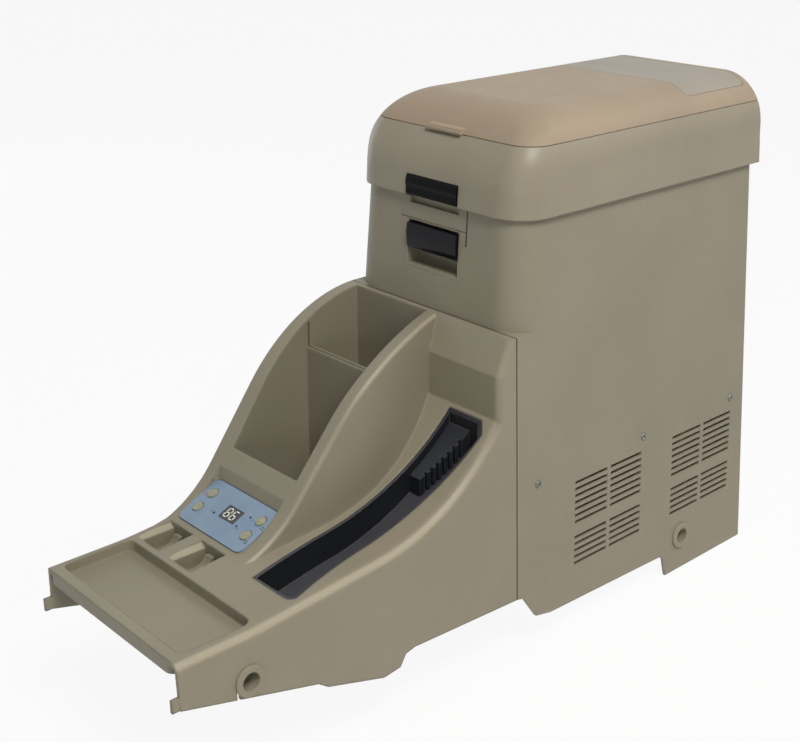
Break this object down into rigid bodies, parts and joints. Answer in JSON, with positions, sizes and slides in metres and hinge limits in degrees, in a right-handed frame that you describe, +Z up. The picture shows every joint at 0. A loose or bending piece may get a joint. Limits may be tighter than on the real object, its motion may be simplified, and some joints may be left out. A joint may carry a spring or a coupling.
{
  "type": "vehicle console refrigerator",
  "caption": "Vehicle centre console with a compressor refrigerator: hinged armrest lid with latch, storage bins, brake lever well, control panel, coin pockets and front tray.",
  "frame": {"origin": "on the floor plane under the rear foot, midway along the length and in the middle plane of the lid", "axes": "+Z up, +Y from the low tray end towards the tall cooled box, +X towards the side with the brake lever well"},
  "size_m": [0.2586, 0.755, 0.518],
  "materials": {
    "beige_plastic": "fine leather-grain moulding",
    "armrest_skin": "soft-touch satin moulding",
    "hinge_cover_plastic": "smooth satin",
    "black_plastic": "fine grain black",
    "gloss_black": "gloss black",
    "panel_film": "printed film, pale blue grey",
    "button_plastic": "satin",
    "display_glass": "dark window",
    "lamp_plastic": "clear green lamp",
    "steel": "zinc plated",
    "painted_steel": "black paint",
    "aluminium_sheet": "mill finish",
    "liner_plastic": "smooth pale grey",
    "foam": "rigid foam",
    "rubber": "matt",
    "copper": "copper tube",
    "board": "circuit board"
  },
  "bodies": {
    "console": {"rear_casing": "beige_plastic", "console_shell": "beige_plastic", "brake_well_liner": "black_plastic", "brake_well_block": "black_plastic", "coin_cradle_left": "beige_plastic", "coin_cradle_right": "beige_plastic", "control_panel": "panel_film", "display_window": "display_glass", "indicator_lamps": "lamp_plastic", "control_board": "board", "bush_rear_right": "beige_plastic", "bush_rear_left": "beige_plastic", "bush_front_right": "beige_plastic", "bush_front_left": "beige_plastic", "casing_screws": "steel", "fridge_liner": "liner_plastic", "liner_rim_frame": "liner_plastic", "evaporator_plate": "aluminium_sheet", "cabinet_insulation": "foam", "cabinet_floor": "steel", "latch_housing": "beige_plastic", "latch_pin": "steel", "lid_hinge_leaf_body": "steel", "lid_hinge_pin": "steel", "base_pan": "steel", "compressor": "painted_steel", "compressor_feet": "rubber", "condenser": "aluminium_sheet", "fan_shroud": "black_plastic", "discharge_pipe": "copper", "liquid_pipe": "copper", "filter_drier": "copper", "feed_pipe": "copper", "suction_pipe": "copper", "drive_module": "aluminium_sheet"},
    "lid": {"lid_shell": "beige_plastic", "lid_grip": "black_plastic", "lid_insulation": "foam", "lid_inner_panel": "liner_plastic", "lid_gasket": "rubber", "lid_hinge_leaf_lid": "steel", "armrest_hinge_leaf_lid": "steel", "armrest_hinge_pin": "steel"},
    "armrest": {"armrest_cover": "armrest_skin", "hinge_cover": "hinge_cover_plastic", "armrest_hinge_leaf_cover": "steel"},
    "paddle": {"latch_paddle": "gloss_black"},
    "fan": {"fan_rotor": "black_plastic"},
    "button_power_body": {"button_power": "button_plastic"},
    "button_mode_body": {"button_mode": "button_plastic"},
    "button_up_body": {"button_up": "button_plastic"},
    "button_down_body": {"button_down": "button_plastic"}
  },
  "joints": [
    {"name": "lid_hinge", "type": "hinge", "parent": "console", "child": "lid", "pos_m": [0, 0.36598, 0.43], "axis": [-1, 0, 0], "range_deg": [0, 95]},
    {"name": "armrest_hinge", "type": "hinge", "parent": "lid", "child": "armrest", "pos_m": [0, 0.36412, 0.492], "axis": [-1, 0, 0], "range_deg": [0, 85]},
    {"name": "latch_paddle_hinge", "type": "hinge", "parent": "console", "child": "paddle", "pos_m": [0, 0.01082, 0.399], "axis": [-1, 0, 0], "range_deg": [0, 30], "stiffness_Nm_per_rad": 0.35},
    {"name": "fan_spin", "type": "hinge", "parent": "console", "child": "fan", "pos_m": [0, 0.105, 0.0935], "axis": [0, 1, 0], "continuous": true},
    {"name": "button_power_press", "type": "slide", "parent": "console", "child": "button_power_body", "axis": [0, 0.4147, -0.91], "range_m": [0, 0.0008], "stiffness_N_per_m": 500},
    {"name": "button_mode_press", "type": "slide", "parent": "console", "child": "button_mode_body", "axis": [0, 0.4147, -0.91], "range_m": [0, 0.0008], "stiffness_N_per_m": 500},
    {"name": "button_up_press", "type": "slide", "parent": "console", "child": "button_up_body", "axis": [0, 0.4147, -0.91], "range_m": [0, 0.0008], "stiffness_N_per_m": 500},
    {"name": "button_down_press", "type": "slide", "parent": "console", "child": "button_down_body", "axis": [0, 0.4147, -0.91], "range_m": [0, 0.0008], "stiffness_N_per_m": 500}
  ]
}
